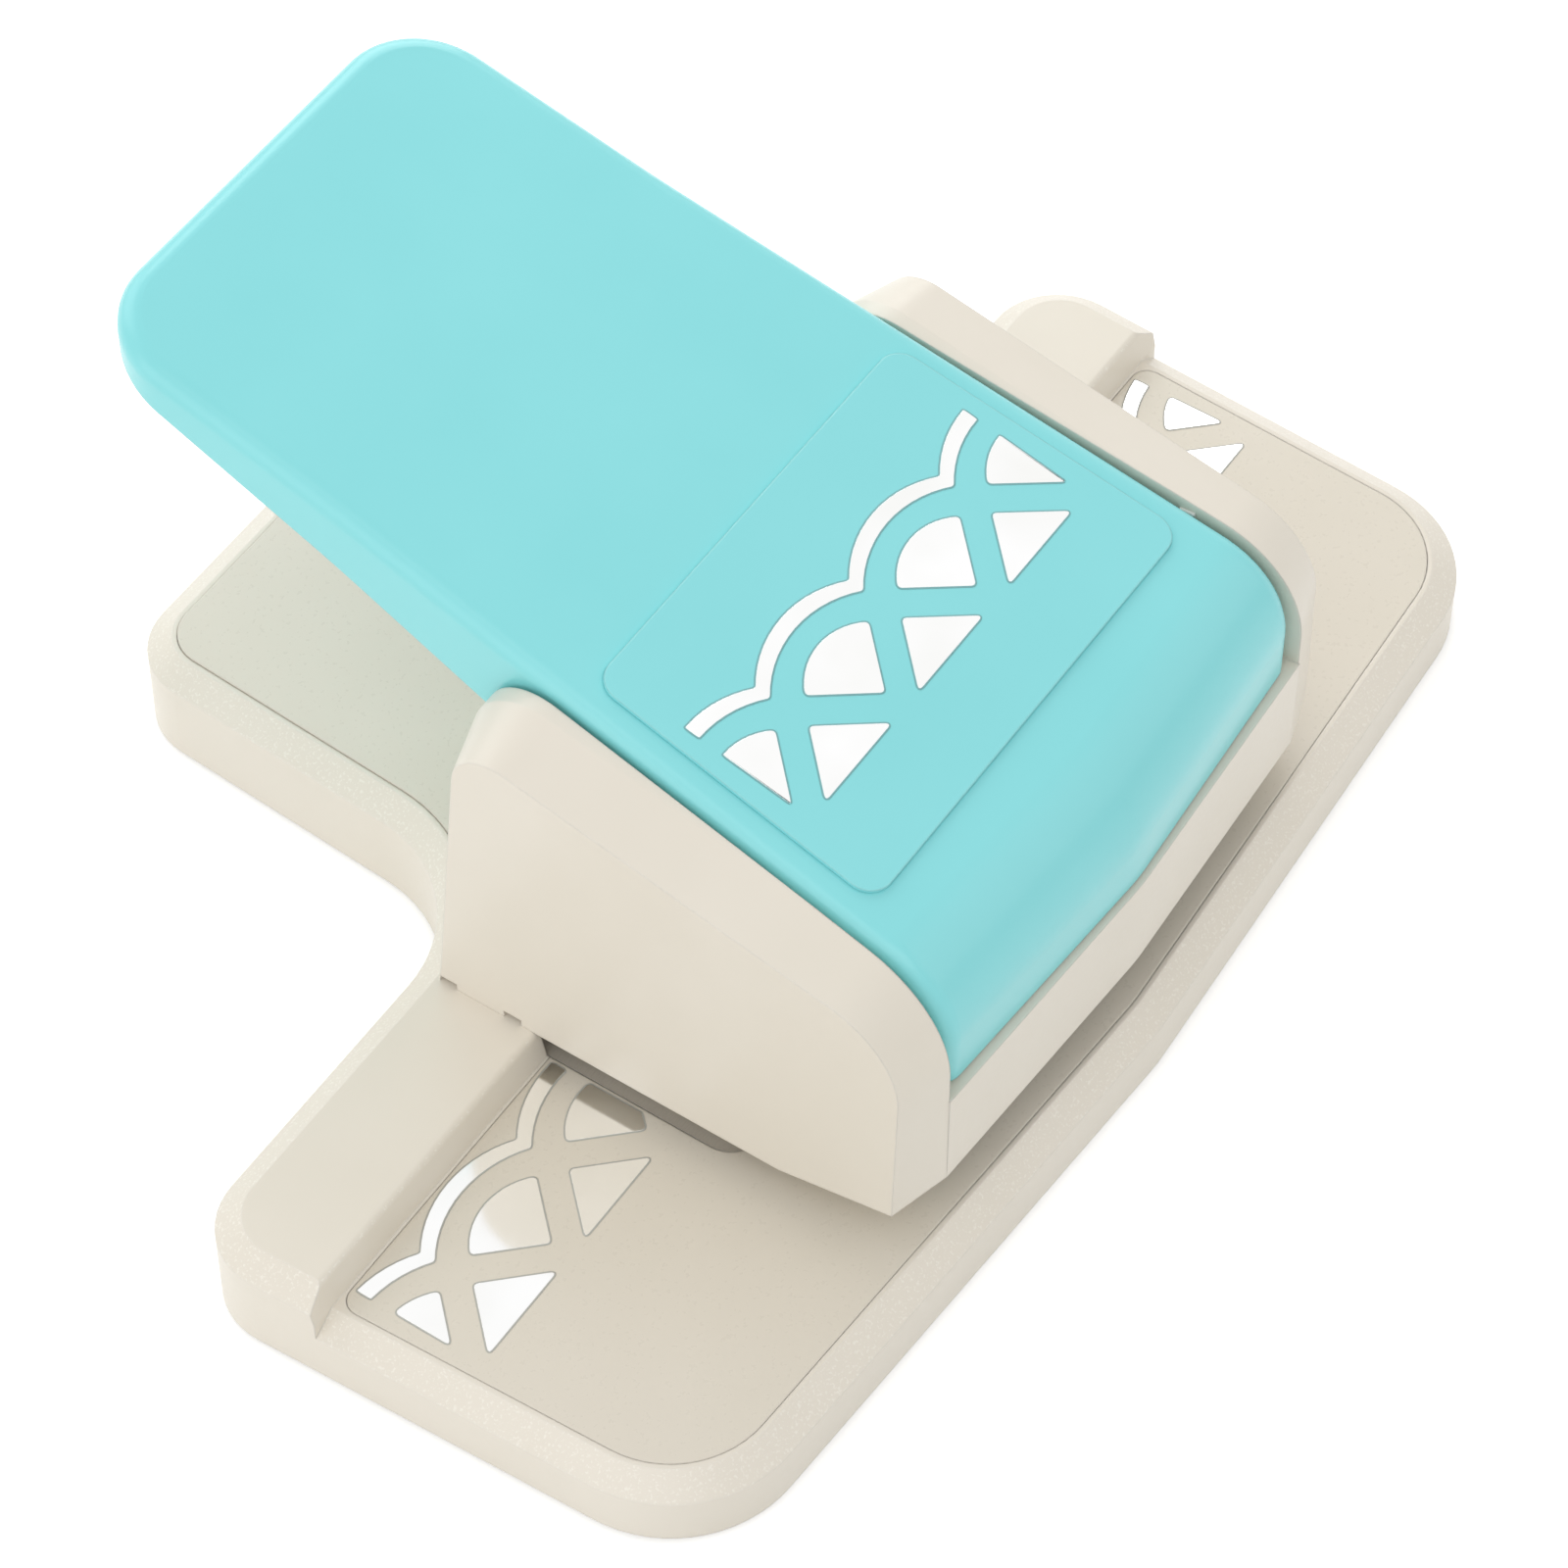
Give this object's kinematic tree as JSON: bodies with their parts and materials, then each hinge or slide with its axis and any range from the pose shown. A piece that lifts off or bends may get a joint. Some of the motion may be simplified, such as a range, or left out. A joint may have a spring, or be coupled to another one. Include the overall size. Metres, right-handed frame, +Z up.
{
  "type": "craft punch",
  "caption": "Lever craft punch for paper borders: wide low base with paper fence and printed guides, cheeked housing, and a broad tilted lever that drives a patterned cutter through a die.",
  "frame": {"origin": "on the surface that the punch stands on, at the middle of its bounding box", "axes": "+X to the right along the wings, +Y to the rear along the lever and tail, +Z up"},
  "size_m": [0.1632, 0.1204, 0.0718],
  "materials": {
    "shell_beige": "satin, finely textured edges",
    "inlay_beige": "satin",
    "lever_turquoise": "satin gloss",
    "label_turquoise": "satin gloss",
    "die_steel": "ground",
    "pressed_steel": "zinc plated sheet",
    "cutter_steel": "ground and hardened",
    "bright_steel": "polished",
    "screw_steel": "zinc plated",
    "spring_steel": "bright wire",
    "plunger_alloy": "die cast",
    "pad_white": "smooth, slippery",
    "foot_rubber": "matt",
    "foil_silver": "bright foil"
  },
  "bodies": {
    "base": {"base_shell": "shell_beige", "bottom_cover": "shell_beige", "rubber_feet": "foot_rubber", "cover_screws": "screw_steel", "deck_plate": "inlay_beige", "tail_plate": "inlay_beige", "die_plate": "die_steel", "fence_bar": "pressed_steel", "guide_plate": "die_steel", "guide_screws": "screw_steel", "die_screws": "screw_steel", "guide_posts": "bright_steel", "post_clips": "spring_steel", "return_springs": "spring_steel", "housing": "shell_beige", "housing_screws": "screw_steel", "side_pads": "pad_white", "hinge_pin": "bright_steel"},
    "lever": {"lever_shell": "lever_turquoise", "label_plate": "label_turquoise", "lever_frame": "pressed_steel", "frame_screws": "screw_steel", "roller_pin": "bright_steel"},
    "roller": {"press_roller": "bright_steel"},
    "plunger": {"plunger_block": "plunger_alloy", "punch_head": "cutter_steel", "punch_screws": "screw_steel", "wear_plate": "cutter_steel"}
  },
  "joints": [
    {"name": "lever_hinge", "type": "hinge", "parent": "base", "child": "lever", "pos_m": [0, -0.0465, 0.0362], "axis": [-1, 0, 0], "range_deg": [0, 11.1], "stiffness_Nm_per_rad": 1.5, "springref_deg": -6.88},
    {"name": "plunger_slide", "type": "slide", "parent": "base", "child": "plunger", "axis": [0, 0, -1], "range_m": [0, 0.0055], "stiffness_N_per_m": 60, "springref_m": -0.02, "deforming": ["return_springs"]},
    {"name": "roller_spin", "type": "hinge", "parent": "lever", "child": "roller", "pos_m": [0, -0.01805, 0.0382], "axis": [1, 0, 0], "continuous": true}
  ],
  "couplings": [
    {"joint": "lever_hinge", "follows": "plunger_slide", "rad_per_m": 35.137}
  ]
}
